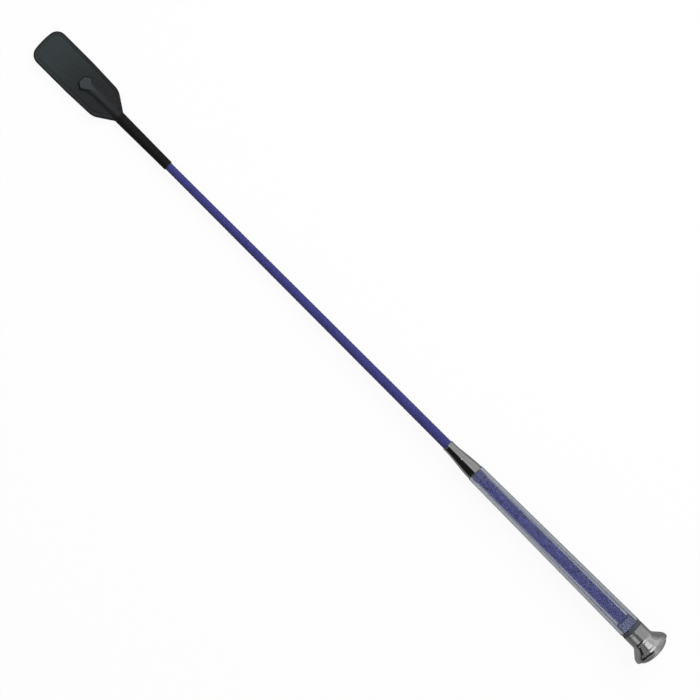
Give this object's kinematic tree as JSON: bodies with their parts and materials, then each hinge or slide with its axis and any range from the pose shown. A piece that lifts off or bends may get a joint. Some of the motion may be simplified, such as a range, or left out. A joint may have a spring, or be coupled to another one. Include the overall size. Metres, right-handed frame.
{
  "type": "riding crop",
  "caption": "Riding crop with a braided tapered shaft, a clear grip tube with a chromed ferrule and flared pommel, and a broad stitched leather keeper.",
  "frame": {"origin": "on the shaft's axis, in the middle of the pommel's collar, where a rack clip holds the crop", "axes": "+X along the shaft towards the keeper's tip, +Y across the keeper, +Z out of the keeper's front face"},
  "size_m": [0.65, 0.0308, 0.0308],
  "materials": {
    "rod": "bare glass-fibre rod, resin sheen",
    "braid": "tight round plait of royal blue thread, slightly glossy",
    "black_rubber": "matt black",
    "leather": "black leather, fine grain, semi matt, burnished edge",
    "filler": "bonded leather board",
    "thread": "waxed black thread",
    "chrome": "bright plated, light handling marks",
    "steel": "plain steel",
    "bush_plastic": "translucent grey plastic",
    "plug_plastic": "blue-grey plastic",
    "clear_tube": "clear acrylic, polished"
  },
  "bodies": {
    "handle_and_shaft": {"rod_core": "rod", "braid_cover": "braid", "tip_guard": "black_rubber", "ferrule": "chrome", "ferrule_tack": "steel", "front_bush": "bush_plastic", "grip_tube": "clear_tube", "rear_washer": "black_rubber", "rear_plug": "plug_plastic", "pommel_flare": "chrome", "pommel_end_disc": "chrome", "pommel_pin": "steel", "neck_binding": "thread", "keeper_neck_front": "leather", "keeper_neck_back": "leather", "keeper_neck_filler": "filler", "keeper_neck_stitching": "thread"},
    "keeper_blade": {"keeper_blade_front": "leather", "keeper_blade_back": "leather", "keeper_blade_filler": "filler", "keeper_blade_stitching": "thread"}
  },
  "joints": [
    {"name": "keeper_flex", "type": "hinge", "parent": "handle_and_shaft", "child": "keeper_blade", "pos_m": [0.5906, 0, 0], "axis": [0, 1, 0], "range_deg": [-40, 40], "stiffness_Nm_per_rad": 0.25}
  ]
}
